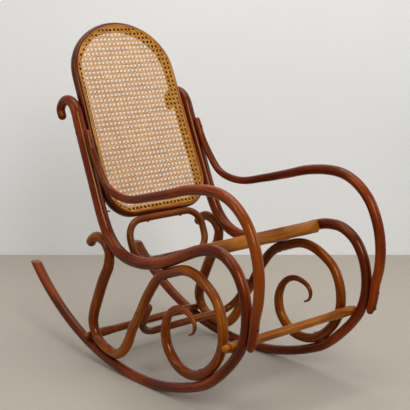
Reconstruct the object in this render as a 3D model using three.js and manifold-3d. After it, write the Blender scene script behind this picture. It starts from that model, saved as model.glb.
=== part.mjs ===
// Bentwood rocking chair, built as a standalone three.js scene graph in millimetres, +Z up.
// The sitter faces -Y. Each side is one long bent rail with an arm and a scroll screwed to it.
import * as THREE from 'three';
import { mergeVertices } from 'three/addons/utils/BufferGeometryUtils.js';
import Module from 'manifold-3d';

const wasm = await Module();
wasm.setup();

// Driving dimensions
const frameHeight = 1080;
const frameDepth = 1165;
const sideSpacing = 488;
const rearNarrowingShare = 0.028;
const rockerRadius = 780;
const rockerTipHeight = 266;
const postDiameter = 37;
const armDiameter = 32;
const scrollDiameter = 30;
const touchGap = 0.7;
const fitGap = 0.3;
const footFlatDepth = 2;
const footFlatReach = 110;

// Back frame, cane and loop
const backCornerRadius = 104;
const backTopHalfWidth = 203;
const backArchRise = 174;
const backFrameWidth = 34;
const backFrameDepth = 28;
const frameChamfer = 5;
const loopDiameter = 23;
const loopHalfWidth = 152;
const loopCornerRadius = 58;
const loopForwardOffset = 8;

// Seat
const seatFrameThickness = 24;
const seatFrameWidth = 36;
const seatRearHalfWidth = 168;
const seatCornerRadius = 75;
const frontRailDepth = 22;
const frontRailHeight = 39;
const frontRailChamfer = 9;
const frontRailRise = 15.5;

// Cane sheets and the splines round them
const splineInset = 11;
const splineWidth = 5;
const splineHeight = 3;
const caneThickness = 2.4;
const canePitch = 34;
const caneHoleSize = 20;
const caneHoleMargin = 4;

// Cross members
const stretcherBallDiameter = 24;
const stretcherBodyDiameter = 26;
const stretcherSwellDiameter = 31;
const stretcherNeckDiameter = 12;
const stretcherPassInnerLength = 16;
const stretcherPassOuterLength = 7;
const stretcherTaperLength = 60;
const stretcherSwellLength = 30;
const stretcherBallReach = 18.5;
const braceDiameter = 24;
const braceCornerRadius = 70;

// Screws and spacers
const screwDiameter = 5;
const screwHeadDiameter = 10;
const screwHeadEdge = 0.8;
const screwHeadHeight = 2.2;
const screwBite = 17;
const spacerDiameter = 16;
const tipCutLength = 120;
const cutOverrun = 60;

// How finely the round pieces are divided
const rodSides = 8;
const railSteps = 88;
const armSteps = 40;
const scrollSteps = 80;
const cornerSteps = 6;
const archSteps = 16;
const ballSteps = 5;
const nestSamples = 40;
const frontStretcherFaces = 8;
const rearStretcherFaces = 12;
const screwFaces = 6;
const endRingShares = [0.1, 0.42, 1];

// Side rail from the curl over the post down to the front curve, then the rocker's arc.
// Each entry is a share of the depth, of the height and of the post's diameter.
const railShares = [
  [0.3235, 0.718, 0.74],
  [0.335, 0.748, 0.77],
  [0.3205, 0.7715, 0.81],
  [0.2965, 0.7795, 0.85],
  [0.273, 0.770, 0.93],
  [0.2565, 0.7475, 0.97],
  [0.2465, 0.719, 1],
  [0.2275, 0.669, 1],
  [0.195, 0.585, 1],
  [0.163, 0.502, 1],
  [0.140, 0.447, 1],
  [0.116, 0.406, 1],
  [0.084, 0.375, 1],
  [0.043, 0.358, 0.98],
  [-0.009, 0.354, 0.96],
  [-0.064, 0.361, 0.94],
  [-0.129, 0.381, 0.92],
  [-0.197, 0.413, 0.90],
  [-0.252, 0.438, 0.89],
  [-0.297, 0.449, 0.88],
  [-0.343, 0.446, 0.87],
  [-0.385, 0.419, 0.86],
  [-0.412, 0.375, 0.85],
  [-0.4245, 0.324, 0.84],
  [-0.4235, 0.270, 0.83],
  [-0.410, 0.223, 0.82],
  [-0.384, 0.180, 0.81],
  [-0.343, 0.133, 0.81],
  [-0.3129, 0.1048, 0.81],
];
// The rocker's radius and the depth in the drawing, as shares of its height, and how far over
// the rocker a point still follows it fully, or no longer does
const drawnRadiusShare = 0.722222;
const drawnDepthShare = 1.078704;
const followShares = [0.05, 0.3];
const rockerGirthShare = 0.81;
const rockerTipGirthShare = 0.94;
const rockerFrontShare = 0.27765;
const rockerFrontAngle = -Math.asin((rockerFrontShare * frameDepth) / rockerRadius);
const rockerRearAngle = THREE.MathUtils.degToRad(51);
const rockerPoints = 11;
const rockerSag = 2.2;
const rockerSagAngle = THREE.MathUtils.degToRad(-8);
const rockerSagSpan = THREE.MathUtils.degToRad(28);

// Places where pieces meet the side rail, counted in its entries from the curl
const backScrewPlaces = [6.6, 9.6];
const armTopPlaces = [7.1, 7.25, 7.4];
const hookPlace = 11.15;
const seatBoltPlace = 14.6;
const crownPlaces = [15.75, 16];
const seatFrontPlace = 18.35;
const armFootPlaces = [23.7, 23.95, 24.2, 24.45];
const frontStretcherRailPlace = 25.3;
const frontTouchPlaces = [28.3, 29];

// Angles round the rocker's arc where the scroll and the rear stretcher meet it
const rearTouchAngle = THREE.MathUtils.degToRad(11.2);
const rearStretcherAngle = THREE.MathUtils.degToRad(20.3);

// Places along the scroll, counted in its entries from the hook
const rearStretcherScrollPlace = 11.85;
const braceFootPlace = 17.45;
const braceTopPlace = 19.5;
const braceScrewInset = 0.35;
const frontStretcherScrollPlace = 32.75;

// Arm between its two ends, which lie against the rail
const armShares = [
  [0.155, 0.590, 0.75],
  [0.118, 0.547, 0.76],
  [0.079, 0.5305, 0.77],
  [0.022, 0.527, 0.79],
  [-0.062, 0.547, 0.84],
  [-0.142, 0.570, 0.90],
  [-0.219, 0.593, 0.96],
  [-0.292, 0.603, 1],
  [-0.3375, 0.5995, 1],
  [-0.374, 0.5855, 1],
  [-0.4075, 0.5595, 1],
  [-0.4335, 0.5255, 1],
  [-0.456, 0.470, 1],
  [-0.466, 0.411, 1],
  [-0.4635, 0.350, 0.97],
  [-0.454, 0.307, 0.93],
];
const armTopGirthShare = 0.72;
const armFootGirthShare = 0.9;
const armTipGirthShare = 0.68;
const armTopOverlap = 34;
const armFootOverlap = 26;

// Scroll in four stretches between the places where it lies against the rail
const hookShares = [
  [0.2085, 0.359, 1.08],
  [0.193, 0.3805, 1.08],
  [0.171, 0.392, 1.04],
  [0.151, 0.3885, 1],
];
const rearLoopShares = [
  [0.1165, 0.354, 1],
  [0.117, 0.334, 1.07],
  [0.123, 0.310, 1.14],
  [0.146, 0.268, 1.16],
  [0.1775, 0.198, 1.16],
  [0.194, 0.1565, 1.14],
  [0.200, 0.1235, 1.08],
  [0.191, 0.095, 1.02],
  [0.170, 0.072, 1],
];
const diagonalShares = [
  [0.087, 0.056, 1],
  [0.061, 0.074, 1.07],
  [0.0385, 0.1045, 1.07],
  [0.017, 0.151, 1],
  [-0.0145, 0.203, 1],
  [-0.042, 0.254, 1],
  [-0.064, 0.288, 1],
  [-0.089, 0.321, 1],
  [-0.118, 0.345, 1],
];
const frontLoopShares = [
  [-0.192, 0.3725, 1],
  [-0.2205, 0.375, 1],
  [-0.2505, 0.3685, 1],
  [-0.287, 0.3495, 0.97],
  [-0.317, 0.3235, 0.95],
  [-0.3365, 0.2845, 0.97],
  [-0.344, 0.240, 1],
  [-0.341, 0.203, 1],
  [-0.325, 0.163, 1],
  [-0.301, 0.132, 1],
];
const spiralShares = [
  [-0.249, 0.0965, 1],
  [-0.218, 0.0905, 1],
  [-0.1815, 0.0965, 1.04],
  [-0.1515, 0.118, 1.04],
  [-0.1295, 0.1505, 1.02],
  [-0.1235, 0.188, 0.96],
  [-0.131, 0.2215, 0.84],
  [-0.150, 0.2495, 0.72],
  [-0.179, 0.264, 0.64],
  [-0.208, 0.261, 0.56],
  [-0.231, 0.248, 0.48],
  [-0.2395, 0.229, 0.40],
  [-0.234, 0.210, 0.30],
  [-0.216, 0.199, 0.18],
];

// Where the back frame and the loop stand, as shares of the depth and height
const backFootShare = 0.4405;
const loopFootShares = [0.0875, 0.311];
const loopScrewShare = 0.45;
const seatLoopScrewShare = 0.4;

// Colours of the stained rods, the lighter bars and the cane
const darkWood = { color: 0x6b2a10, roughness: 0.34, metalness: 0 };
const scrollWood = { color: 0x8a3c14, roughness: 0.34, metalness: 0 };
const loopWood = { color: 0x8c5022, roughness: 0.38, metalness: 0 };
const honeyWood = { color: 0xb9702c, roughness: 0.42, metalness: 0 };
const cane = { color: 0xd8b47e, roughness: 0.6, metalness: 0 };
const spline = { color: 0xc79c62, roughness: 0.55, metalness: 0 };
const steel = { color: 0x4a4038, roughness: 0.45, metalness: 0.8 };

const chair = new THREE.Group();
const across = new THREE.Vector3(1, 0, 0);

// Half the distance between the two side frames narrows towards the rear.
const seatFrontAlong = railShares[Math.floor(seatFrontPlace)][0] * frameDepth;
const sideAt = (along) => sideSpacing / 2 - rearNarrowingShare * (along - seatFrontAlong);

const addMesh = (name, geometry, finish, parent = chair) => {
  geometry.computeVertexNormals();
  const mesh = new THREE.Mesh(geometry, new THREE.MeshStandardMaterial(finish));
  mesh.name = name;
  parent.add(mesh);
  return mesh;
};

// How far an arc has risen over its lowest point, that far along it
const arcRise = (radius, along) => radius - Math.sqrt(Math.max(radius ** 2 - along ** 2, 0));

// The tables fit a rocker of the drawn radius. When a size changes, the points low on the frame
// move up or down with the rocker, and those higher up move less.
const rockerShift = (along, up) => {
  const drawnRise = arcRise(drawnRadiusShare, along * drawnDepthShare);
  const [fullShare, noneShare] = followShares;
  const fade = THREE.MathUtils.clamp(
    (noneShare - (up - drawnRise)) / (noneShare - fullShare), 0, 1,
  );
  return fade * (arcRise(rockerRadius, along * frameDepth) - drawnRise * frameHeight);
};

const placed = ([along, up, girth = 0], diameter = 0) => ({
  point: new THREE.Vector3(0, along * frameDepth, up * frameHeight + rockerShift(along, up)),
  radius: (girth * diameter) / 2,
});

// A bent rod: a curve through its points, and a radius that runs between the same points
const bentRod = (entries) => {
  const curve = new THREE.CatmullRomCurve3(entries.map((entry) => entry.point), false, 'centripetal');
  const radiusAt = (place) => {
    const index = Math.min(Math.floor(place), entries.length - 1);
    const next = entries[Math.min(index + 1, entries.length - 1)];
    return THREE.MathUtils.lerp(entries[index].radius, next.radius, place - index);
  };
  return { curve, radiusAt, last: entries.length - 1 };
};

const pointAt = (rod, place) => rod.curve.getPoint(place / rod.last);
const tangentAt = (rod, place) => rod.curve.getTangent(place / rod.last);

// The direction square to a side rod in its plane, behind the post and above the rocker
const innerAt = (rod, place) => new THREE.Vector3().crossVectors(across, tangentAt(rod, place));

// Rings along a bent rod: where each one lies and how thick the rod is there
const rodStations = (rod, steps) => {
  const ends = [rod.curve.getPoint(0), rod.curve.getPoint(1)];
  const radii = [rod.radiusAt(0), rod.radiusAt(rod.last)];
  const length = rod.curve.getLength();
  const station = (t, swell = 1) => ({
    point: rod.curve.getPoint(t),
    tangent: rod.curve.getTangent(t),
    radius: rod.radiusAt(t * rod.last) * swell,
  });
  const rounding = (radius, along) => endRingShares.map((share) => station(
    rod.curve.getUtoTmapping(along((share * radius) / length)),
    Math.sqrt(1 - (1 - share) ** 2),
  ));
  const middle = [];
  for (let step = 1; step < steps; step += 1) {
    const ring = station(step / steps);
    const clear = ends.every((end, index) => (
      ring.point.distanceTo(end) > radii[index] * (1 + endRingShares[1])
    ));
    if (clear) middle.push(ring);
  }
  return [
    ...rounding(radii[0], (share) => share),
    ...middle,
    ...rounding(radii[1], (share) => 1 - share).reverse(),
  ];
};

// Sweeps flat-sided rings through the stations, with a flat facing each way square to the rod.
const sweep = (stations, tips, planeNormal = across) => {
  const positions = [];
  for (const { point, tangent, radius } of stations) {
    const normal = new THREE.Vector3().crossVectors(planeNormal, tangent).normalize();
    const reach = radius / Math.cos(Math.PI / rodSides);
    for (let side = 0; side < rodSides; side += 1) {
      const angle = ((side + 0.5) * 2 * Math.PI) / rodSides;
      const corner = point.clone()
        .addScaledVector(normal, reach * Math.cos(angle))
        .addScaledVector(planeNormal, reach * Math.sin(angle));
      positions.push(corner.x, corner.y, corner.z);
    }
  }
  const indices = [];
  const rings = stations.length;
  for (let ring = 0; ring < (tips ? rings - 1 : rings); ring += 1) {
    const here = ring * rodSides;
    const there = ((ring + 1) % rings) * rodSides;
    for (let side = 0; side < rodSides; side += 1) {
      const next = (side + 1) % rodSides;
      indices.push(here + side, here + next, there + next);
      indices.push(here + side, there + next, there + side);
    }
  }
  if (tips) {
    const lastRing = (rings - 1) * rodSides;
    const firstTip = rings * rodSides;
    for (const tip of tips) positions.push(tip.x, tip.y, tip.z);
    for (let side = 0; side < rodSides; side += 1) {
      const next = (side + 1) % rodSides;
      indices.push(firstTip, next, side);
      indices.push(firstTip + 1, lastRing + side, lastRing + next);
    }
  }
  const geometry = new THREE.BufferGeometry();
  geometry.setAttribute('position', new THREE.Float32BufferAttribute(positions, 3));
  geometry.setIndex(indices);
  return geometry;
};

const sweepRod = (rod, steps) => sweep(
  rodStations(rod, steps),
  [rod.curve.getPoint(0), rod.curve.getPoint(1)],
);

// Boolean work on closed meshes
const welded = (geometry) => {
  const bare = geometry.clone();
  bare.deleteAttribute('normal');
  bare.deleteAttribute('uv');
  return mergeVertices(bare);
};

const toSolid = (geometry) => {
  const merged = welded(geometry);
  return new wasm.Manifold(new wasm.Mesh({
    numProp: 3,
    vertProperties: new Float32Array(merged.attributes.position.array),
    triVerts: new Uint32Array(merged.index.array),
  }));
};

const toGeometry = (solid) => {
  const mesh = solid.getMesh();
  const geometry = new THREE.BufferGeometry();
  geometry.setAttribute('position', new THREE.Float32BufferAttribute(mesh.vertProperties, 3));
  geometry.setIndex([...mesh.triVerts]);
  return geometry;
};

const cut = (geometry, cutters) => {
  let solid = toSolid(geometry);
  for (const cutter of cutters) solid = solid.subtract(toSolid(cutter));
  return toGeometry(solid);
};

const boxBetween = (low, high) => {
  const size = new THREE.Vector3().subVectors(high, low);
  const centre = new THREE.Vector3().addVectors(low, high).multiplyScalar(1 / 2);
  return new THREE.BoxGeometry(size.x, size.y, size.z).translate(centre.x, centre.y, centre.z);
};

// Screws. The surface point is where the head sits on the wood, and each screw leaves a hole
// in whatever it passes through.
const holes = [];
const addScrew = (name, surface, wayIn, length) => {
  const direction = wayIn.clone().normalize();
  const profile = [
    [0, 0],
    [screwDiameter / 2, 0],
    [screwDiameter / 2, length],
    [screwHeadDiameter / 2, length],
    [screwHeadDiameter / 2, length + screwHeadEdge],
    [0, length + screwHeadHeight],
  ].map(([radius, along]) => new THREE.Vector2(radius, along));
  const screw = addMesh(name, welded(new THREE.LatheGeometry(profile, screwFaces)), steel);
  screw.position.copy(surface).addScaledVector(direction, length - fitGap);
  screw.quaternion.setFromUnitVectors(new THREE.Vector3(0, 1, 0), direction.clone().negate());
  const holeRadius = screwDiameter / 2 + fitGap;
  const seatRadius = screwHeadDiameter / 2 + fitGap;
  const seatStart = length - fitGap / 2;
  const hole = new THREE.LatheGeometry([
    [0, -fitGap],
    [holeRadius, -fitGap],
    [holeRadius, seatStart],
    [seatRadius, seatStart],
    [seatRadius, length + screwHeadDiameter],
    [0, length + screwHeadDiameter],
  ].map(([radius, along]) => new THREE.Vector2(radius, along)), screwFaces);
  screw.updateMatrix();
  holes.push(hole.applyMatrix4(screw.matrix));
};

// Cuts the screws' holes in a piece that is drawn in the given frame.
const drilled = (geometry, frame = chair) => {
  frame.updateMatrix();
  const intoFrame = frame.matrix.clone().invert();
  return cut(geometry, holes.map((hole) => hole.clone().applyMatrix4(intoFrame)));
};

// Moves a rod from the plane x = 0 into its side frame, following the narrowing to the rear.
const intoSide = (geometry, side) => {
  const position = geometry.attributes.position;
  for (let index = 0; index < position.count; index += 1) {
    position.setX(index, position.getX(index) + side * sideAt(position.getY(index)));
  }
  return geometry;
};

const onSide = (point, side) => new THREE.Vector3(side * sideAt(point.y), point.y, point.z);

const sides = [
  { side: -1, hand: 'right' },
  { side: 1, hand: 'left' },
];

// Side rail
const railRadius = (girth) => (girth * postDiameter) / 2;
const rockerEntries = [];
for (let step = 0; step < rockerPoints; step += 1) {
  const share = step / (rockerPoints - 1);
  const angle = THREE.MathUtils.lerp(rockerFrontAngle, rockerRearAngle, share);
  const along = rockerRadius * Math.sin(angle);
  const sag = rockerSag * Math.max(0, Math.cos(((angle - rockerSagAngle) / rockerSagSpan) * Math.PI));
  const up = rockerRadius * (1 - Math.cos(angle)) + railRadius(rockerGirthShare) - sag;
  rockerEntries.push({
    point: new THREE.Vector3(0, along, up),
    radius: railRadius(THREE.MathUtils.lerp(rockerGirthShare, rockerTipGirthShare, share ** 2)),
  });
}
const rail = bentRod([...railShares.map((share) => placed(share, postDiameter)), ...rockerEntries]);
const placeOnRocker = (angle) => railShares.length
  + ((angle - rockerFrontAngle) / (rockerRearAngle - rockerFrontAngle)) * (rockerPoints - 1);

// A point where a rod of the given radius lies against the rail, inside or outside its curve
const besideRail = (place, radius, inward) => ({
  point: pointAt(rail, place).addScaledVector(
    innerAt(rail, place),
    inward * (rail.radiusAt(place) + radius + touchGap),
  ),
  radius,
});

// Arm
const armTopRadius = (armTopGirthShare * armDiameter) / 2;
const armFootRadius = (armFootGirthShare * armDiameter) / 2;
const armTipRadius = (armTipGirthShare * armDiameter) / 2;
const armEnd = (place, radius, overlap) => ({
  point: besideRail(place, radius, -1).point.addScaledVector(tangentAt(rail, place), overlap),
  radius: armTipRadius,
});
const arm = bentRod([
  armEnd(armTopPlaces[0], armTopRadius, -armTopOverlap),
  ...armTopPlaces.map((place) => besideRail(place, armTopRadius, -1)),
  ...armShares.map((share) => placed(share, armDiameter)),
  ...armFootPlaces.map((place) => besideRail(place, armFootRadius, -1)),
  armEnd(armFootPlaces.at(-1), armFootRadius, armFootOverlap),
]);

// Scroll
const scrollRadius = scrollDiameter / 2;
const inScroll = (shares) => shares.map((share) => placed(share, scrollDiameter));
const rearTouchPlace = placeOnRocker(rearTouchAngle);
const scroll = bentRod([
  ...inScroll(hookShares),
  besideRail(hookPlace, scrollRadius, 1),
  ...inScroll(rearLoopShares),
  besideRail(rearTouchPlace, scrollRadius, 1),
  ...inScroll(diagonalShares),
  ...crownPlaces.map((place) => besideRail(place, scrollRadius, 1)),
  ...inScroll(frontLoopShares),
  ...frontTouchPlaces.map((place) => besideRail(place, scrollRadius, 1)),
  ...inScroll(spiralShares),
]);

// Room for a round bar between two places of the rail and the scroll, kept clear of both rods
const nestBetween = (railPlace, scrollPlace) => {
  const railPoint = pointAt(rail, railPlace);
  const scrollPoint = pointAt(scroll, scrollPlace);
  const room = (
    railPoint.distanceTo(scrollPoint) - rail.radiusAt(railPlace) - scroll.radiusAt(scrollPlace)
  ) / 2;
  const wayIn = new THREE.Vector3().subVectors(scrollPoint, railPoint).normalize();
  const point = railPoint.clone().addScaledVector(wayIn, rail.radiusAt(railPlace) + room);
  const clearOf = (rod) => {
    const samples = rod.last * nestSamples;
    let least = Infinity;
    for (let index = 0; index <= samples; index += 1) {
      const place = index / nestSamples;
      least = Math.min(least, pointAt(rod, place).distanceTo(point) - rod.radiusAt(place));
    }
    return least;
  };
  return { point, wayIn, radius: Math.min(clearOf(rail), clearOf(scroll)) - fitGap };
};

// Back frame: its plane follows the posts, drawn across and up the slope from its foot.
const postTop = pointAt(rail, backScrewPlaces[0]);
const postFoot = pointAt(rail, backScrewPlaces[1]);
const upBack = new THREE.Vector3().subVectors(postTop, postFoot).normalize();
const backFront = new THREE.Vector3().crossVectors(across, upBack);
const backGroup = new THREE.Group();
backGroup.position.copy(postFoot)
  .addScaledVector(upBack, (backFootShare * frameHeight - postFoot.z) / upBack.z);
backGroup.quaternion.setFromRotationMatrix(new THREE.Matrix4().makeBasis(across, upBack, backFront));
const backTopDrop = (backFrameDepth / 2) * backFront.z;
const backLength = (frameHeight - backTopDrop - backGroup.position.z) / upBack.z;
const postRadius = rail.radiusAt(backScrewPlaces[1]);
const backHalfWidth = (up) => (
  sideAt(backGroup.position.y + up * upBack.y) - postRadius - touchGap
);

const backOutline = (inset) => {
  const points = [];
  const cornerX = backHalfWidth(backCornerRadius) - backCornerRadius;
  for (let step = 0; step <= cornerSteps; step += 1) {
    const angle = (step / cornerSteps - 1) * (Math.PI / 2);
    points.push(new THREE.Vector2(
      cornerX + (backCornerRadius - inset) * Math.cos(angle),
      backCornerRadius + (backCornerRadius - inset) * Math.sin(angle),
    ));
  }
  const archFoot = backLength - backArchRise;
  for (let step = 0; step < archSteps; step += 1) {
    const angle = (step / archSteps) * (Math.PI / 2);
    points.push(new THREE.Vector2(
      (backTopHalfWidth - inset) * Math.cos(angle),
      archFoot + (backArchRise - inset) * Math.sin(angle),
    ));
  }
  const mirrored = points.map(({ x, y }) => new THREE.Vector2(-x, y)).reverse();
  return [...points, new THREE.Vector2(0, backLength - inset), ...mirrored];
};

// Seat: its plane runs from the loop's foot to the crest of the side rails.
const loopRadius = loopDiameter / 2;
const loopFoot = placed(loopFootShares).point;
const seatFront = pointAt(rail, seatFrontPlace);
const forward = new THREE.Vector3().subVectors(seatFront, loopFoot).normalize();
const seatNormal = new THREE.Vector3().crossVectors(forward, across);
const seatGroup = new THREE.Group();
seatGroup.position.copy(loopFoot).addScaledVector(forward, loopRadius + touchGap);
seatGroup.quaternion.setFromRotationMatrix(
  new THREE.Matrix4().makeBasis(across.clone().negate(), forward, seatNormal),
);
const seatReach = seatFront.distanceTo(seatGroup.position);
const seatFrameLength = seatReach - frontRailDepth / 2 - fitGap;
const crestRadius = rail.radiusAt(Math.floor(seatFrontPlace));
const seatFrontHalfWidth = sideAt(seatFront.y + frontRailDepth) - crestRadius - touchGap;
const seatHalfWidth = (ahead) => THREE.MathUtils.mapLinear(
  ahead, seatCornerRadius, seatFrameLength, seatRearHalfWidth, seatFrontHalfWidth,
);

const seatOutline = (inset) => {
  const points = [];
  for (let step = 0; step <= cornerSteps; step += 1) {
    const angle = (step / cornerSteps - 1) * (Math.PI / 2);
    points.push(new THREE.Vector2(
      seatRearHalfWidth - seatCornerRadius + (seatCornerRadius - inset) * Math.cos(angle),
      seatCornerRadius + (seatCornerRadius - inset) * Math.sin(angle),
    ));
  }
  points.push(new THREE.Vector2(seatFrontHalfWidth - inset, seatFrameLength - inset));
  return [...points, ...points.map(({ x, y }) => new THREE.Vector2(-x, y)).reverse()];
};

// Flat pieces: a board cut to an outline, with or without openings
const board = (outline, openings, thickness, base, chamfer = 0) => {
  const shape = new THREE.Shape(outline);
  shape.holes = openings.map((opening) => new THREE.Path(opening));
  const geometry = new THREE.ExtrudeGeometry(shape, {
    depth: thickness - 2 * chamfer,
    steps: 1,
    bevelEnabled: chamfer > 0,
    bevelThickness: chamfer,
    bevelSize: chamfer,
    bevelOffset: -chamfer,
    bevelSegments: 1,
  });
  return geometry.translate(0, 0, base + chamfer);
};

const isInside = (outline, x, y) => {
  let inside = false;
  outline.forEach((point, index) => {
    const before = outline.at(index - 1);
    const spans = point.y > y !== before.y > y;
    if (spans && x < ((before.x - point.x) * (y - point.y)) / (before.y - point.y) + point.x) {
      inside = !inside;
    }
  });
  return inside;
};

// Square gaps that stand for the open weave, wherever a whole one fits inside the frame
const caneGaps = (limit, base) => {
  const reach = Math.max(...limit.map((point) => point.y));
  const gaps = [];
  const half = caneHoleSize / 2;
  for (let up = 0; up < reach; up += canePitch) {
    for (let out = canePitch / 2; out < reach; out += canePitch) {
      const corners = [[-half, -half], [half, -half], [half, half], [-half, half]];
      if (!corners.every(([x, y]) => isInside(limit, out + x, up + y))) continue;
      for (const x of [-out, out]) {
        gaps.push(boxBetween(
          new THREE.Vector3(x - half, up - half, base - caneThickness),
          new THREE.Vector3(x + half, up + half, base + 2 * caneThickness),
        ));
      }
    }
  }
  return gaps;
};

const addCanedFrame = (name, group, outlineAt, thickness, width) => {
  const splineInner = splineInset + splineWidth;
  const caneInset = splineInner + fitGap;
  const face = thickness / 2 + fitGap;
  const frameBoard = board(outlineAt(0), [outlineAt(width)], thickness, -thickness / 2, frameChamfer);
  addMesh(`${name}_frame`, drilled(frameBoard, group), darkWood, group);
  const splineRing = board(outlineAt(splineInset), [outlineAt(splineInner)], splineHeight, face);
  addMesh(`${name}_cane_spline`, welded(splineRing), spline, group);
  const gaps = caneGaps(outlineAt(width + caneHoleMargin), face);
  const sheet = board(outlineAt(caneInset), [], caneThickness, face);
  addMesh(`${name}_cane`, cut(sheet, gaps), cane, group);
};

// Loop between the back frame and the seat: a closed bent rod in one plane
const loopTop = backGroup.position.clone()
  .addScaledVector(upBack, -loopRadius - touchGap)
  .addScaledVector(backFront, loopForwardOffset);
const upLoop = new THREE.Vector3().subVectors(loopTop, loopFoot);
const loopHeight = upLoop.length();
upLoop.normalize();
const loopFront = new THREE.Vector3().crossVectors(across, upLoop);

const planarStation = (origin, upward, x, up, angle, radius) => ({
  point: origin.clone().addScaledVector(across, x).addScaledVector(upward, up),
  tangent: across.clone().multiplyScalar(-Math.sin(angle)).addScaledVector(upward, Math.cos(angle)),
  radius,
});

const loopStations = [];
for (let quarter = 0; quarter < 4; quarter += 1) {
  const towards = [[1, 1], [-1, 1], [-1, -1], [1, -1]][quarter];
  const cornerX = towards[0] * (loopHalfWidth - loopCornerRadius);
  const cornerUp = towards[1] > 0 ? loopHeight - loopCornerRadius : loopCornerRadius;
  for (let step = 0; step <= cornerSteps; step += 1) {
    const angle = (quarter + step / cornerSteps) * (Math.PI / 2);
    loopStations.push(planarStation(
      loopFoot,
      upLoop,
      cornerX + loopCornerRadius * Math.cos(angle),
      cornerUp + loopCornerRadius * Math.sin(angle),
      angle,
      loopRadius,
    ));
  }
}

// Brace under the seat: a bent rod whose arms lie along the insides of the scrolls
const braceRadius = braceDiameter / 2;
const braceTop = pointAt(scroll, braceTopPlace);
const braceFoot = pointAt(scroll, braceFootPlace);
const upBrace = new THREE.Vector3().subVectors(braceTop, braceFoot);
const braceHeight = upBrace.length();
upBrace.normalize();
const braceFront = new THREE.Vector3().crossVectors(across, upBrace);
const braceHalfWidth = (up) => (
  sideAt(braceFoot.y + up * upBrace.y) - scrollRadius - braceRadius - touchGap
);
const braceHalf = [];
for (let step = 0; step <= cornerSteps; step += 1) {
  const angle = (step / cornerSteps - 1) * (Math.PI / 2);
  braceHalf.push(planarStation(
    braceFoot,
    upBrace,
    braceHalfWidth(0) - braceCornerRadius * (1 - Math.cos(angle)),
    braceCornerRadius * (1 + Math.sin(angle)),
    angle,
    braceRadius,
  ));
}
for (const share of [...endRingShares].reverse()) {
  const up = braceHeight - share * braceRadius;
  const swell = Math.sqrt(1 - (1 - share) ** 2);
  braceHalf.push(planarStation(braceFoot, upBrace, braceHalfWidth(up), up, 0, braceRadius * swell));
}
const mirrorStation = ({ point, tangent, radius }) => ({
  point: new THREE.Vector3(-point.x, point.y, point.z),
  tangent: new THREE.Vector3(tangent.x, -tangent.y, -tangent.z),
  radius,
});
const braceStations = [...braceHalf.map(mirrorStation).reverse(), ...braceHalf];
const braceTips = [-1, 1].map((side) => new THREE.Vector3(
  side * braceHalfWidth(braceHeight), braceTop.y, braceTop.z,
));

// Stretchers: turned bars that pass between the scroll and the rail and end in a ball
const frontNest = nestBetween(frontStretcherRailPlace, frontStretcherScrollPlace);
const rearNest = nestBetween(placeOnRocker(rearStretcherAngle), rearStretcherScrollPlace);

const stretcher = (nest, faces) => {
  const side = sideAt(nest.point.y);
  const passRadius = Math.min(nest.radius, stretcherSwellDiameter / 2);
  const swellEnd = side - stretcherPassInnerLength - stretcherSwellLength;
  const half = [
    [stretcherBodyDiameter / 2, swellEnd - stretcherTaperLength],
    [stretcherSwellDiameter / 2, swellEnd],
    [passRadius, side - stretcherPassInnerLength],
    [passRadius, side + stretcherPassOuterLength],
  ];
  const ballRadius = stretcherBallDiameter / 2;
  const neckAngle = Math.PI - Math.asin(stretcherNeckDiameter / stretcherBallDiameter);
  for (let step = 0; step < ballSteps; step += 1) {
    const angle = neckAngle * (1 - step / ballSteps);
    half.push([
      ballRadius * Math.sin(angle),
      side + stretcherBallReach + ballRadius * Math.cos(angle),
    ]);
  }
  half.push([0, side + stretcherBallReach + ballRadius]);
  const profile = [...half.map(([radius, out]) => [radius, -out]).reverse(), ...half]
    .map(([radius, out]) => new THREE.Vector2(radius, out));
  const geometry = new THREE.LatheGeometry(profile, faces);
  geometry.rotateZ(-Math.PI / 2);
  return geometry.translate(nest.point.x, nest.point.y, nest.point.z);
};

// Every screw is placed before the wood is drilled.
const addRodScrew = (name, place, radius, inward, side) => {
  const direction = innerAt(rail, place).multiplyScalar(-inward);
  const surface = pointAt(rail, place)
    .addScaledVector(direction, -(rail.radiusAt(place) + touchGap + 2 * radius));
  addScrew(name, onSide(surface, side), direction, 2 * radius + touchGap + screwBite);
};

const addSideBolt = (name, rod, place, side, length) => {
  const surface = onSide(pointAt(rod, place), side);
  surface.x += side * rod.radiusAt(place);
  addScrew(name, surface, across.clone().multiplyScalar(-side), length);
};

const addNestScrew = (name, nest, side) => {
  const throughRail = 2 * rail.radiusAt(rail.last) + fitGap;
  const surface = nest.point.clone().addScaledVector(nest.wayIn, -(nest.radius + throughRail));
  addScrew(name, onSide(surface, side), nest.wayIn, throughRail + nest.radius);
};

const spacerPoint = pointAt(rail, seatBoltPlace);
const spacerAhead = spacerPoint.distanceTo(seatGroup.position);
const spacerInner = seatHalfWidth(spacerAhead + spacerDiameter / 2) + fitGap;
const spacerOuter = sideAt(spacerPoint.y + spacerDiameter / 2) - rail.radiusAt(seatBoltPlace) - touchGap;

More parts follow.
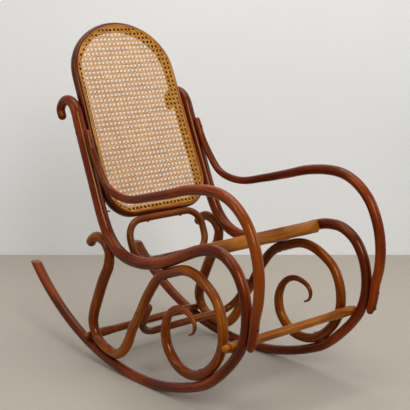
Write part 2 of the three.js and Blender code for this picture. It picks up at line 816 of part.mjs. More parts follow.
for (const { side, hand } of sides) {
  addRodScrew(`screw_arm_post_upper_${hand}`, armTopPlaces[0], armTopRadius, -1, side);
  addRodScrew(`screw_arm_post_lower_${hand}`, armTopPlaces[2], armTopRadius, -1, side);
  addRodScrew(`screw_arm_front_upper_${hand}`, armFootPlaces[0], armFootRadius, -1, side);
  addRodScrew(`screw_arm_front_lower_${hand}`, armFootPlaces[3], armFootRadius, -1, side);
  addRodScrew(`screw_hook_${hand}`, hookPlace, scrollRadius, 1, side);
  addRodScrew(`screw_scroll_rear_${hand}`, rearTouchPlace, scrollRadius, 1, side);
  addRodScrew(`screw_scroll_crown_${hand}`, crownPlaces[0], scrollRadius, 1, side);
  addRodScrew(`screw_scroll_front_${hand}`, frontTouchPlaces[1], scrollRadius, 1, side);
  const backBite = 2 * postRadius + touchGap + screwBite;
  addSideBolt(`screw_back_upper_${hand}`, rail, backScrewPlaces[0], side, backBite);
  addSideBolt(`screw_back_lower_${hand}`, rail, backScrewPlaces[1], side, backBite);
  const seatBite = 2 * crestRadius + touchGap + frontRailDepth;
  addSideBolt(`screw_seat_front_${hand}`, rail, seatFrontPlace, side, seatBite);
  const boltBite = sideAt(spacerPoint.y) + rail.radiusAt(seatBoltPlace) - spacerInner + screwBite;
  addSideBolt(`bolt_seat_side_${hand}`, rail, seatBoltPlace, side, boltBite);
  const braceBite = 2 * scrollRadius + touchGap + screwBite;
  addSideBolt(`screw_brace_${hand}`, scroll, braceTopPlace - braceScrewInset, side, braceBite);
  addNestScrew(`screw_front_stretcher_${hand}`, frontNest, side);
  addNestScrew(`screw_rear_stretcher_${hand}`, rearNest, side);
  const loopBite = loopDiameter + touchGap + screwBite;
  const underLoop = loopTop.clone().addScaledVector(upBack, -loopRadius);
  underLoop.x = side * loopScrewShare * loopHalfWidth;
  addScrew(`screw_loop_top_${hand}`, underLoop, upBack, loopBite);
  const behindLoop = loopFoot.clone().addScaledVector(forward, -loopRadius);
  behindLoop.x = side * seatLoopScrewShare * loopHalfWidth;
  addScrew(`screw_loop_foot_${hand}`, behindLoop, forward, loopBite);
}

// Side frames
const tip = rail.curve.getPoint(1);
const overSide = new THREE.Vector3(cutOverrun, 0, 0);
const tipCut = boxBetween(
  new THREE.Vector3(0, tip.y - tipCutLength, rockerTipHeight).sub(overSide),
  new THREE.Vector3(0, tip.y + cutOverrun, tip.z + cutOverrun).add(overSide),
);
const footCut = boxBetween(
  new THREE.Vector3(0, -footFlatReach, -cutOverrun).sub(overSide),
  new THREE.Vector3(0, footFlatReach, footFlatDepth).add(overSide),
);
for (const { side, hand } of sides) {
  const sideRail = intoSide(cut(sweepRod(rail, railSteps), [tipCut, footCut]), side);
  addMesh(`side_rail_${hand}`, drilled(sideRail), darkWood);
  addMesh(`arm_${hand}`, drilled(intoSide(sweepRod(arm, armSteps), side)), darkWood);
  addMesh(`scroll_${hand}`, drilled(intoSide(sweepRod(scroll, scrollSteps), side)), scrollWood);
  const spacer = new THREE.CylinderGeometry(
    spacerDiameter / 2, spacerDiameter / 2, spacerOuter - spacerInner, rearStretcherFaces,
  );
  spacer.rotateZ(Math.PI / 2);
  spacer.translate(side * (spacerOuter + spacerInner) / 2, spacerPoint.y, spacerPoint.z);
  addMesh(`seat_spacer_${hand}`, drilled(spacer), darkWood);
}

// Back, loop and seat
chair.add(backGroup, seatGroup);
addCanedFrame('back', backGroup, backOutline, backFrameDepth, backFrameWidth);
addMesh('back_loop', drilled(sweep(loopStations, null, loopFront)), loopWood);
addCanedFrame('seat', seatGroup, seatOutline, seatFrameThickness, seatFrameWidth);

const frontRailDrop = frontRailRise - frontRailHeight;
const frontRailProfile = [
  new THREE.Vector2(0, frontRailRise),
  new THREE.Vector2(0, frontRailDrop),
  new THREE.Vector2(frontRailDepth - frontRailChamfer, frontRailDrop),
  new THREE.Vector2(frontRailDepth, frontRailDrop + frontRailChamfer),
  new THREE.Vector2(frontRailDepth, frontRailRise),
];
const frontRail = new THREE.ExtrudeGeometry(new THREE.Shape(frontRailProfile), {
  depth: 2 * seatFrontHalfWidth,
  steps: 1,
  bevelEnabled: false,
});
frontRail.applyMatrix4(new THREE.Matrix4().makeBasis(
  new THREE.Vector3(0, 1, 0), new THREE.Vector3(0, 0, 1), new THREE.Vector3(1, 0, 0),
));
frontRail.translate(-seatFrontHalfWidth, seatFrameLength + fitGap, 0);
addMesh('seat_front_rail', drilled(frontRail, seatGroup), honeyWood, seatGroup);

// Stretchers and brace
addMesh('front_stretcher', drilled(stretcher(frontNest, frontStretcherFaces)), honeyWood);
addMesh('rear_stretcher', drilled(stretcher(rearNest, rearStretcherFaces)), scrollWood);
addMesh('under_brace', drilled(sweep(braceStations, braceTips, braceFront)), scrollWood);

// The origin is the middle of the foot print, on the floor.
const bounds = new THREE.Box3().setFromObject(chair, true);
const middle = bounds.getCenter(new THREE.Vector3());
chair.position.set(-middle.x, -middle.y, -bounds.min.z);

export default chair;
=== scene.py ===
import bisect
import math
import random

import bmesh
import bpy
from mathutils import Matrix, Vector


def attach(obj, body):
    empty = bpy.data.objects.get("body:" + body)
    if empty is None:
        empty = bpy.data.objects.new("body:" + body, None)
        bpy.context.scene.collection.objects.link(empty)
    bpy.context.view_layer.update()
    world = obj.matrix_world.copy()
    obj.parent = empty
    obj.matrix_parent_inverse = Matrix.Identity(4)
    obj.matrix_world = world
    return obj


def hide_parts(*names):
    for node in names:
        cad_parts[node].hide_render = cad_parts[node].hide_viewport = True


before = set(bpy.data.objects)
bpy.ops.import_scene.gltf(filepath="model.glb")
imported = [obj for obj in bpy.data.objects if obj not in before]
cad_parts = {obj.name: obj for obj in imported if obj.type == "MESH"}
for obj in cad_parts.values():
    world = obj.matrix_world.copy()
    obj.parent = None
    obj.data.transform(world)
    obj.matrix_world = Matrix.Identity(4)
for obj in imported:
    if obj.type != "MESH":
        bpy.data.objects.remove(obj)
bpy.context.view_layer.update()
random.seed(41)
print("frame loaded")

acrossAxis = Vector((1, 0, 0))
hands = {"right": -1, "left": 1}
tiny = 1e-9


# Shader maths: wraps one socket, so that arithmetic on it adds Math nodes.
class Signal:
    def __init__(self, tree, socket=None):
        self.tree = tree
        self.socket = socket

    def node(self, kind, settings=None, inputs=None, output=0):
        made = self.tree.nodes.new(kind)
        for name, value in (settings or {}).items():
            if name == "stops":
                stops = made.color_ramp.elements
                while len(stops) < len(value):
                    stops.new(0.5)
                for stop, (place, colour) in zip(stops, value):
                    stop.position = place
                    stop.color = colour
            else:
                setattr(made, name, value)
        for name, value in (inputs or {}).items():
            if isinstance(value, Signal):
                self.tree.links.new(value.socket, made.inputs[name])
            else:
                made.inputs[name].default_value = value
        return Signal(self.tree, made.outputs[output])

    def maths(self, operation, first, second):
        return self.node("ShaderNodeMath", {"operation": operation}, {0: first, 1: second})

    def __add__(self, other): return self.maths("ADD", self, other)
    def __radd__(self, other): return self.maths("ADD", other, self)
    def __sub__(self, other): return self.maths("SUBTRACT", self, other)
    def __rsub__(self, other): return self.maths("SUBTRACT", other, self)
    def __mul__(self, other): return self.maths("MULTIPLY", self, other)
    def __rmul__(self, other): return self.maths("MULTIPLY", other, self)

    # Scales are per metre, one for each axis.
    def noise(self, scales, detail, rough=0.55):
        place = self.node("ShaderNodeVectorMath", {"operation": "MULTIPLY"}, {0: self, 1: scales})
        return self.node("ShaderNodeTexNoise", None,
                         {"Vector": place, "Scale": 1, "Detail": detail, "Roughness": rough})

    def band(self, low, high, toLow=0.0, toHigh=1.0):
        return self.node("ShaderNodeMapRange", None,
                         {"Value": self, "From Min": low, "From Max": high,
                          "To Min": toLow, "To Max": toHigh})

    def part(self, axis):
        return self.node("ShaderNodeSeparateXYZ", None, {"Vector": self}, axis)

    # Mixes two colours by this signal
    def between(self, first, second):
        return self.node("ShaderNodeMix", {"data_type": "RGBA"}, {0: self, 6: first, 7: second}, 2)

    def ramp(self, *colours):
        stops = [(index / (len(colours) - 1), colour) for index, colour in enumerate(colours)]
        return self.node("ShaderNodeValToRGB", {"stops": stops}, {"Fac": self})


materials = {}


def newMaterial(name, surface):
    material = bpy.data.materials.new(name)
    material.use_nodes = True
    materials[name] = material
    shader = material.node_tree.nodes["Principled BSDF"]
    for socket, value in surface.items():
        shader.inputs[socket].default_value = value
    return Signal(material.node_tree), shader


def plug(signal, shader, name):
    signal.tree.links.new(signal.socket, shader.inputs[name])


def plugBump(relief, shader, texture):
    bump = relief.node("ShaderNodeBump", None,
                       {"Strength": texture["bump"], "Distance": texture["bumpDepth"], "Height": relief})
    plug(bump, shader, "Normal")


def roughAbout(middle, signal, texture):
    below, above = texture["roughSpan"]
    return signal.band(*texture["roughBand"], middle - below, middle + above)


def grainSignal(start):
    return start.node("ShaderNodeAttribute", {"attribute_name": "grain"}, output="Vector")


def placeSignal(start):
    return start.node("ShaderNodeTexCoord", output="Object")


def rgb(red, green, blue):
    return (*((value / 255) ** 2.2 for value in (red, green, blue)), 1)


# Lacquered bentwood. Its grain runs along the third axis of each piece's grain attribute.
woodLooks = {
    "darkWood": {
        "deep": rgb(38, 7, 1), "main": rgb(84, 23, 2), "light": rgb(146, 58, 8), "rough": 0.24,
    },
    "armWoodWornAndLit": {
        "deep": rgb(44, 9, 1), "main": rgb(88, 25, 3), "light": rgb(146, 60, 10), "rough": 0.2,
        "rubbed": rgb(132, 60, 14),
    },
    "frameWood": {
        "deep": rgb(24, 5, 0), "main": rgb(66, 18, 1), "light": rgb(108, 40, 4), "rough": 0.26,
        "rubbed": rgb(156, 90, 32),
    },
    "scrollWood": {
        "deep": rgb(50, 17, 1), "main": rgb(102, 42, 4), "light": rgb(166, 90, 16), "rough": 0.21,
    },
    "loopWood": {
        "deep": rgb(50, 18, 1), "main": rgb(92, 43, 6), "light": rgb(142, 80, 20), "rough": 0.24,
    },
    "honeyWood": {
        "deep": rgb(78, 35, 4), "main": rgb(130, 70, 12), "light": rgb(182, 116, 36), "rough": 0.24,
    },
}
# Each noise layer has its scales, detail and, where it is not the usual one, roughness.
woodTexture = {
    "streaks": ((420, 420, 9), 4),
    "fibres": ((1500, 1500, 60), 2),
    "clouds": ((16, 16, 4), 3),
    "pores": ((900, 900, 110), 1),
    "worn": ((60, 60, 14), 5, 0.7),
    "toneBand": (0.3, 0.7),
    "poreBand": (0.64, 0.72),
    "wornBand": (0.64, 0.78),
    "streakTone": 0.4,
    "cloudTone": 0.6,
    "poreShare": 0.4,
    "wornShare": 0.45,
    "wornRough": 0.12,
    "roughBand": (0.3, 0.7),
    "roughSpan": (0.05, 0.08),
    "fibreRelief": 0.6,
    "streakRelief": 0.8,
    "poreRelief": 0.5,
    "bump": 0.1,
    "bumpDepth": 0.0006,
}
woodSurface = {
    "Specular IOR Level": 0.34, "Specular Tint": (1, 0.6, 0.25, 1),
    "Coat Weight": 0.03, "Coat Roughness": 0.06,
}
rubbedLook = {
    "armFront": (-0.34, -0.54),
    "armShare": 0.8,
    "armFoot": (0.25, 0.38),
    "frameEdge": (0.0075, 0.0105),
    "frameLean": 0.03,
    "frameCane": (0.0165, 0.0145),
    "frameFace": (0.006, 0.01),
    "frameShare": 0.9,
    "streaks": 1.2,
    "least": 0.3,
}


# The arm is rubbed lighter in front, but not at its foot. Only the right arm gets this tone, so it is wear
# and painted light together; the left arm stays plain darkWood.
def rubbedAndLitArm(grain, place):
    front = place.part(1).band(*rubbedLook["armFront"], 0, rubbedLook["armShare"])
    return front * place.part(2).band(*rubbedLook["armFoot"])


# The caned frames are lighter on their face, between edge and cane, and more so on the sitter's left.
def rubbedFrame(grain, place):
    fromEdge = grain.part(0) + place.part(0) * rubbedLook["frameLean"]
    inside = fromEdge.band(*rubbedLook["frameEdge"]) * grain.part(0).band(*rubbedLook["frameCane"])
    return inside * grain.part(1).band(*rubbedLook["frameFace"], 0, rubbedLook["frameShare"])


rubbings = {"armWoodWornAndLit": rubbedAndLitArm, "frameWood": rubbedFrame}


def makeWood(name, look):
    texture = woodTexture
    start, shader = newMaterial(name, woodSurface)
    grain = grainSignal(start)
    streaks, fibres, clouds, pores, worn = (
        grain.noise(*texture[layer]) for layer in ("streaks", "fibres", "clouds", "pores", "worn"))
    pores = pores.band(*texture["poreBand"])
    worn = worn.band(*texture["wornBand"])
    tone = (streaks * texture["streakTone"] + clouds * texture["cloudTone"]).band(*texture["toneBand"])
    colour = tone.ramp(look["deep"], look["main"], look["light"])
    colour = (pores * texture["poreShare"]).between(colour, look["deep"])
    colour = (worn * texture["wornShare"]).between(colour, look["light"])
    if name in rubbings:
        share = rubbings[name](grain, placeSignal(start))
        share = share * (streaks * rubbedLook["streaks"] + rubbedLook["least"])
        colour = share.between(colour, look["rubbed"])
    plug(colour, shader, "Base Color")
    plug(roughAbout(look["rough"], clouds, texture) + worn * texture["wornRough"], shader, "Roughness")
    relief = fibres * texture["fibreRelief"] + streaks * texture["streakRelief"]
    plugBump(relief - pores * texture["poreRelief"], shader, texture)


for woodName, woodLook in woodLooks.items():
    makeWood(woodName, woodLook)

# Rattan: fine fibres along each strand, tone changing along it, and painted shade where the strand lies
# lower, under the crossing strands
caneLooks = {
    "cane": {
        "deep": rgb(86, 40, 4), "main": rgb(209, 138, 38), "light": rgb(255, 216, 112), "rough": 0.42,
    },
    "spline": {
        "deep": rgb(84, 38, 8), "main": rgb(150, 84, 28), "light": rgb(202, 138, 66), "rough": 0.38,
    },
}
caneTexture = {
    "fibres": ((2600, 2600, 25), 2),
    "lengths": ((30, 30, 11), 3),
    "joints": ((12, 12, 30), 2),
    "toneBand": (0.32, 0.68),
    "jointBand": (0.66, 0.76),
    "crossingShadeBand": (0.0004, -0.0007),
    "fibreTone": 0.35,
    "lengthTone": 0.65,
    "jointShare": 0.6,
    "crossingShadeShare": 0.9,
    "roughBand": (0.3, 0.7),
    "roughSpan": (0.08, 0.12),
    "bump": 0.25,
    "bumpDepth": 0.0004,
}
caneSurface = {"Specular IOR Level": 0.3, "Coat Weight": 0.05}


def makeCane(name, look):
    texture = caneTexture
    start, shader = newMaterial(name, caneSurface)
    grain = grainSignal(start)
    fibres, lengths, joints = (grain.noise(*texture[layer]) for layer in ("fibres", "lengths", "joints"))
    joints = joints.band(*texture["jointBand"])
    tone = (fibres * texture["fibreTone"] + lengths * texture["lengthTone"]).band(*texture["toneBand"])
    colour = tone.ramp(look["deep"], look["main"], look["light"])
    colour = (joints * texture["jointShare"]).between(colour, look["deep"])
    # Painted shade: each strand is mixed towards its deep colour where it passes under the crossing
    # strands
    sunk = grain.part(1).band(*texture["crossingShadeBand"], 0, texture["crossingShadeShare"])
    plug(sunk.between(colour, look["deep"]), shader, "Base Color")
    plug(roughAbout(look["rough"], lengths, texture), shader, "Roughness")
    plugBump(fibres, shader, texture)


for caneName, caneLook in caneLooks.items():
    makeCane(caneName, caneLook)

# Screw heads, browned with age
steelLook = {"main": rgb(106, 48, 20), "dull": rgb(74, 30, 10), "rough": 0.36}
steelTexture = {
    "tarnish": ((160, 160, 160), 4),
    "tarnishBand": (0.42, 0.62),
    "tarnishRough": 0.2,
    "scratches": ((2400, 300, 2400), 2),
    "scratchRough": 0.12,
    "bump": 0.2,
    "bumpDepth": 0.0002,
}
steelSurface = {"Metallic": 0.6}


def makeSteel(name, look):
    texture = steelTexture
    start, shader = newMaterial(name, steelSurface)
    place = placeSignal(start)
    tarnish = place.noise(*texture["tarnish"]).band(*texture["tarnishBand"])
    scratches = place.noise(*texture["scratches"])
    plug(tarnish.between(look["main"], look["dull"]), shader, "Base Color")
    uneven = tarnish * texture["tarnishRough"] + scratches * texture["scratchRough"]
    plug(uneven + look["rough"], shader, "Roughness")
    plugBump(scratches, shader, texture)


makeSteel("steel", steelLook)
print("materials made")


# Reaches of the mesh operators in metres, and the angle in degrees from which an edge is sharp
meshing = {"weld": 1e-6, "cut": 1e-7, "cutSegments": 2, "sharp": 38}


def vertsOf(items):
    return [item for item in items if isinstance(item, bmesh.types.BMVert)]


def wholeOf(shape):
    return list(shape.verts) + list(shape.edges) + list(shape.faces)


def roundEdges(shape, edges, radius, segments, clamped=True):
    bmesh.ops.bevel(shape, geom=edges, offset=radius, segments=segments, profile=0.5, affect="EDGES",
                    material=-1, clamp_overlap=clamped)


def finishPiece(name, shape, finish, node, sharpAngle=meshing["sharp"]):
    bmesh.ops.remove_doubles(shape, verts=shape.verts, dist=meshing["weld"])
    bmesh.ops.recalc_face_normals(shape, faces=shape.faces)
    mesh = bpy.data.meshes.new(name)
    shape.to_mesh(mesh)
    shape.free()
    mesh.shade_smooth()
    mesh.set_sharp_from_angle(angle=math.radians(sharpAngle))
    mesh.materials.append(materials[finish])
    piece = bpy.data.objects.new(name, mesh)
    bpy.context.scene.collection.objects.link(piece)
    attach(piece, "root")
    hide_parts(node)


# Where in the noise each piece starts, so that pieces of one wood differ
grainStarts = {
    "rail": {"right": -3, "left": 3},
    "arm": {"right": 6, "left": 8},
    "scroll": {"right": 10, "left": 12},
    "frame": 17,
    "spline": 23,
    "frontRail": 29,
    "loop": 31,
    "brace": 37,
    "stretcher": {"front": 45.2581, "rear": 43.8327},
    "spacer": {"right": 46, "left": 48},
}


def grainLayer(shape):
    return shape.verts.layers.float_vector.new("grain")


def markGrain(shape, start):
    layer = grainLayer(shape)
    for vert in shape.verts:
        vert[layer] = vert.co + Vector((0, 0, start))


# Turns a profile of (radius, height) about the Z axis.
def turned(profile, steps):
    shape = bmesh.new()
    verts = [shape.verts.new((radius, 0, height)) for radius, height in profile]
    edges = [shape.edges.new(pair) for pair in zip(verts, verts[1:])]
    bmesh.ops.spin(shape, geom=verts + edges, cent=(0, 0, 0), axis=(0, 0, 1), angle=2 * math.pi,
                   steps=steps, use_merge=True)
    bmesh.ops.remove_doubles(shape, verts=shape.verts, dist=meshing["weld"])
    return shape


# Draws a profile out in equal steps.
def drawnOut(shape, edges, step, steps):
    bmesh.ops.spin(shape, geom=edges, dvec=step, axis=(0, 0, 1), angle=0, steps=steps, use_duplicate=False)


def capped(shape):
    bmesh.ops.holes_fill(shape, edges=[edge for edge in shape.edges if edge.is_boundary], sides=0)


# How finely rods are made: samples of a path in each span, ring spacing in metres, sides and end rings
rodDetail = {
    "samples": 14, "planarSamples": 6, "spacing": 0.008, "sides": 20, "railSides": 24, "endSteps": 5,
}


# The centre line of a bent rod: a smooth curve through its entries, with a radius between them
class BentPath:
    def __init__(self, points, radii, samples=rodDetail["samples"], closed=False):
        self.points, self.tangents, self.radii, self.lengths = [], [], [], [0.0]
        count = len(points)
        spans = count if closed else count - 1
        for span in range(spans):
            if closed:
                corners = [points[(span + step) % count] for step in (-1, 0, 1, 2)]
                ends = radii[span], radii[(span + 1) % count]
            else:
                before = points[span - 1] if span else 2 * points[0] - points[1]
                after = points[span + 2] if span + 2 < count else 2 * points[-1] - points[-2]
                corners = [before, points[span], points[span + 1], after]
                ends = radii[span], radii[span + 1]
            for step in range(samples + (span == spans - 1)):
                self.addSample(corners, ends, step / samples)

    def addSample(self, corners, ends, share):
        gaps = [max((b - a).length ** 0.5, tiny) for a, b in zip(corners, corners[1:])]
        p0, p1, p2, p3 = corners
        g0, g1, g2 = gaps
        slope1 = ((p1 - p0) / g0 - (p2 - p0) / (g0 + g1) + (p2 - p1) / g1) * g1
        slope2 = ((p2 - p1) / g1 - (p3 - p1) / (g1 + g2) + (p3 - p2) / g2) * g1
        square = 3 * (p2 - p1) - 2 * slope1 - slope2
        cube = 2 * (p1 - p2) + slope1 + slope2
        point = p1 + slope1 * share + square * share ** 2 + cube * share ** 3
        if self.points:
            self.lengths.append(self.lengths[-1] + (point - self.points[-1]).length)
        self.points.append(point)
        self.tangents.append((slope1 + 2 * square * share + 3 * cube * share ** 2).normalized())
        self.radii.append(ends[0] + (ends[1] - ends[0]) * share)

    def at(self, along):
        index = min(max(bisect.bisect_right(self.lengths, along) - 1, 0), len(self.points) - 2)
        low, high = self.lengths[index], self.lengths[index + 1]
        share = (along - low) / max(high - low, tiny)
        tangent = self.tangents[index].lerp(self.tangents[index + 1], share).normalized()
        radius = self.radii[index] + (self.radii[index + 1] - self.radii[index]) * share
        return self.points[index].lerp(self.points[index + 1], share), tangent, radius


# Turns a straight rod with rounded ends, then bends it along its path.
def bentRod(path, planeNormal, grainStart, sides=rodDetail["sides"]):
    total = path.lengths[-1]
    startRadius, endRadius = path.radii[0], path.radii[-1]
    endSteps = rodDetail["endSteps"]
    angles = [step / endSteps * math.pi / 2 for step in range(1, endSteps + 1)]
    profile = [(0.0, 0.0)]
    for angle in angles:
        profile.append((startRadius * math.sin(angle), startRadius * (1 - math.cos(angle))))
    bodyLength = total - startRadius - endRadius
    steps = max(2, round(bodyLength / rodDetail["spacing"]))
    for step in range(1, steps):
        along = startRadius + bodyLength * step / steps
        profile.append((path.at(along)[2], along))
    for angle in reversed(angles):
        profile.append((endRadius * math.sin(angle), total - endRadius * (1 - math.cos(angle))))
    profile.append((0.0, total))
    shape = turned(profile, sides)
    markGrain(shape, grainStart)
    bendAlong(shape, path, planeNormal)
    return shape


def bendAlong(shape, path, planeNormal):
    for vert in shape.verts:
        point, tangent, _ = path.at(vert.co.z)
        normal = planeNormal.cross(tangent).normalized()
        vert.co = point + planeNormal * vert.co.x + normal * vert.co.y


# Side frames: entries are (along, up, radius) in millimetres, in the chair's middle plane.
sideFrame = {
    "halfSpacing": 0.244,
    "spacingPlace": -0.31251,
    "narrowing": 0.028,
    "rail": [
        (357.9, 773.4, 13.69), (371.3, 805.8, 14.25), (354.5, 831.2, 14.99), (326.5, 839.9, 15.72),
        (299.1, 829.6, 17.21), (279.9, 805.3, 17.95), (268.2, 774.5, 18.50), (246.1, 720.5, 18.50),
        (208.2, 629.8, 18.50), (171.0, 540.2, 18.50), (144.2, 480.8, 18.50), (116.2, 436.5, 18.50),
        (78.9, 403.0, 18.50), (31.2, 384.6, 18.13), (-29.4, 380.3, 17.76), (-93.5, 387.9, 17.39),
        (-169.2, 409.5, 17.02), (-248.4, 444.0, 16.65), (-312.5, 471.0, 16.46), (-364.9, 482.9, 16.28),
        (-418.5, 479.7, 16.09), (-467.5, 450.5, 15.91), (-498.9, 403.0, 15.72), (-513.5, 347.9, 15.54),
        (-512.3, 289.6, 15.35), (-496.6, 238.8, 15.17), (-466.3, 192.4, 14.99), (-418.5, 141.6, 14.99),
        (-383.5, 111.2, 14.99), (-342.4, 83.2, 14.99), (-246.3, 45.7, 15.01), (-146.3, 21.3, 15.08),
        (-44.1, 11.7, 15.20), (58.5, 16.8, 15.37), (159.8, 33.7, 15.59), (258.1, 63.8, 15.85),
        (351.5, 106.5, 16.16), (438.4, 160.7, 16.52), (517.5, 224.8, 16.93), (587.2, 300.0, 17.39),
    ],
    "arm": [
        (227.4, 755.6, 10.88), (214.4, 724.2, 11.52), (209.0, 711.3, 11.52), (203.3, 697.7, 11.52),
        (161.6, 635.2, 12.00), (118.5, 588.8, 12.16), (73.1, 570.9, 12.32), (6.7, 567.2, 12.64),
        (-91.2, 588.8, 13.44), (-184.4, 613.6, 14.40), (-274.1, 638.4, 15.36), (-359.1, 649.2, 16.00),
        (-412.1, 645.5, 16.00), (-454.6, 630.3, 16.00), (-493.7, 602.3, 16.00), (-524.0, 565.5, 16.00),
        (-550.2, 505.6, 16.00), (-561.8, 441.9, 16.00), (-558.9, 376.0, 15.52), (-547.8, 329.6, 14.88),
        (-544.7, 304.5, 14.40), (-542.9, 288.0, 14.40), (-540.0, 272.5, 14.40), (-536.1, 257.5, 14.40),
        (-528.7, 232.6, 10.88),
    ],
    "scroll": [
        (224.0, 385.7, 16.20), (205.9, 408.9, 16.20), (180.3, 421.4, 15.60), (157.0, 417.6, 15.00),
        (136.6, 407.9, 15.00), (116.8, 380.3, 15.00), (117.4, 358.7, 16.05), (124.4, 332.8, 17.10),
        (151.2, 287.4, 17.40), (187.9, 211.8, 17.40), (207.1, 167.0, 17.10), (214.1, 131.4, 16.20),
        (203.6, 100.6, 15.30), (179.1, 75.8, 15.00), (126.6, 58.5, 15.00), (82.4, 58.5, 15.00),
        (52.1, 77.9, 16.05), (25.9, 110.9, 16.05), (0.9, 161.1, 15.00), (-35.8, 217.2, 15.00),
        (-67.9, 272.3, 15.00), (-93.5, 309.0, 15.00), (-122.6, 344.7, 15.00), (-156.4, 370.6, 15.00),
        (-160.3, 371.8, 15.00), (-180.3, 378.7, 15.00), (-242.6, 400.3, 15.00), (-275.8, 403.0, 15.00),
        (-310.8, 396.0, 15.00), (-353.3, 375.5, 14.55), (-388.2, 347.4, 14.25), (-411.0, 305.3, 14.55),
        (-419.7, 257.2, 15.00), (-416.2, 217.2, 15.00), (-397.6, 174.0, 15.00), (-369.6, 140.6, 15.00),
        (-353.6, 126.9, 15.00), (-328.1, 110.4, 15.00), (-309.0, 102.2, 15.00), (-272.9, 95.7, 15.00),
        (-230.4, 102.2, 15.60), (-195.4, 125.4, 15.60), (-169.8, 160.5, 15.30), (-162.8, 201.0, 14.40),
        (-171.5, 237.2, 12.60), (-193.7, 267.5, 10.80), (-227.5, 283.1, 9.60), (-261.3, 279.9, 8.40),
        (-288.0, 265.8, 7.20), (-297.9, 245.3, 6.00), (-291.5, 224.8, 4.50), (-270.6, 212.9, 2.70),
    ],
    "tipHeight": 0.264,
    "tipReach": 0.12,
    "tipBand": (0.1, 0.4),
    "tipRounding": 0.0012,
    "fullness": 1.02,
    "armFullness": 0.98,
}


def sideAt(along):
    return sideFrame["halfSpacing"] - sideFrame["narrowing"] * (along - sideFrame["spacingPlace"])


def sidePath(entries, fullness):
    points = [Vector((0, along / 1000, up / 1000)) for along, up, _ in entries]
    return BentPath(points, [fullness * radius / 1000 for *_, radius in entries])


def intoSide(shape, side):
    for vert in shape.verts:
        vert.co.x += side * sideAt(vert.co.y)


# Cuts the whole shape or some of its faces off flat, and closes and rounds the cut.
def cutFlat(shape, point, normal, faces=None, rounding=0):
    geom = wholeOf(shape)
    if faces is not None:
        edges = {edge for face in faces for edge in face.edges}
        geom = list({vert for face in faces for vert in face.verts}) + list(edges) + list(faces)
    made = bmesh.ops.bisect_plane(shape, geom=geom, plane_co=point, plane_no=normal,
                                  clear_outer=True, dist=meshing["cut"])["geom_cut"]
    rim = [item for item in made if isinstance(item, bmesh.types.BMEdge)]
    bmesh.ops.holes_fill(shape, edges=rim, sides=0)
    if rounding:
        roundEdges(shape, [edge for edge in rim if edge.is_valid], rounding,
                   meshing["cutSegments"], clamped=False)


railPath = sidePath(sideFrame["rail"], sideFrame["fullness"])
armPath = sidePath(sideFrame["arm"], sideFrame["armFullness"])
scrollPath = sidePath(sideFrame["scroll"], sideFrame["fullness"])
# The right arm's lighter front is wear and painted light together; the left arm has none of it
armLooks = {"right": "armWoodWornAndLit", "left": "darkWood"}
tipStart = railPath.points[-1].y - sideFrame["tipReach"]
tipLow, tipHigh = sideFrame["tipBand"]
for hand, side in hands.items():
    railShape = bentRod(railPath, acrossAxis, grainStarts["rail"][hand], rodDetail["railSides"])
    cutFlat(railShape, (0, 0, 0), (0, 0, -1))
    tipFaces = [face for face in railShape.faces
                if min(vert.co.y for vert in face.verts) > tipStart
                and tipLow < face.calc_center_median().z < tipHigh]
    cutFlat(railShape, (0, 0, sideFrame["tipHeight"]), (0, 0, 1), tipFaces, sideFrame["tipRounding"])
    intoSide(railShape, side)
    finishPiece(f"railBent_{hand}", railShape, "darkWood", f"side_rail_{hand}")
    armShape = bentRod(armPath, acrossAxis, grainStarts["arm"][hand])
    intoSide(armShape, side)
    finishPiece(f"armBent_{hand}", armShape, armLooks[hand], f"arm_{hand}")
    scrollShape = bentRod(scrollPath, acrossAxis, grainStarts["scroll"][hand])
    intoSide(scrollShape, side)
    finishPiece(f"scrollBent_{hand}", scrollShape, "scrollWood", f"scroll_{hand}")
print("side frames bent")


# Flat frames. Each is drawn across (x) and up (y) in its own plane, facing along its z.
def planeMatrix(origin, right, upward):
    outward = right.cross(upward)
    return Matrix.Translation(origin) @ Matrix((right, upward, outward)).transposed().to_4x4()


backPlace = {
    "origin": Vector((0, 0.14275, 0.47374)),
    "upward": Vector((0, 0.3860, 0.9225)),
    "length": 0.64917,
    "cornerRadius": 0.104,
    "topHalfWidth": 0.203,
    "archRise": 0.174,
    "postRadius": 0.0185,
    "touchGap": 0.0007,
    "thickness": 0.028,
    "width": 0.031,
    "rounding": 0.009,
}
seatPlace = {
    "origin": Vector((0, 0.07147, 0.33786)),
    "upward": Vector((0, -0.9454, 0.3259)),
    "length": 0.4145,
    "cornerRadius": 0.075,
    "rearHalfWidth": 0.168,
    "frontHalfWidth": 0.22674,
    "thickness": 0.024,
    "width": 0.036,
    "rounding": 0.006,
}
flatDetail = {
    "cornerSteps": 12, "sideSteps": 12, "archSteps": 30, "segments": 4, "edgeAngle": 1.2, "sharp": 60,
}
canePlace = {
    "splineOuter": 0.011,
    "splineInner": 0.0155,
    "splineHeight": 0.0030,
    "splineRounding": 0.0012,
    "splineSegments": 3,
    "lift": 0.0003,
    "tuck": 0.0015,
}
backMatrix = planeMatrix(backPlace["origin"], acrossAxis, backPlace["upward"])
seatMatrix = planeMatrix(seatPlace["origin"], -acrossAxis, seatPlace["upward"])


def arcPoints(centre, radiusX, radiusY, start, end, steps):
    return [Vector((centre[0] + radiusX * math.cos(angle), centre[1] + radiusY * math.sin(angle)))
            for angle in (math.radians(start + (end - start) * step / steps) for step in range(steps + 1))]


def linePoints(start, end, steps):
    return [start.lerp(end, step / steps) for step in range(1, steps + 1)]


def mirrored(half):
    return half + [Vector((-point.x, point.y)) for point in reversed(half) if point.x > meshing["weld"]]


def cornerPoints(halfWidth, radius, inset):
    return arcPoints((halfWidth - radius, radius), radius - inset, radius - inset, -90, 0,
                     flatDetail["cornerSteps"])


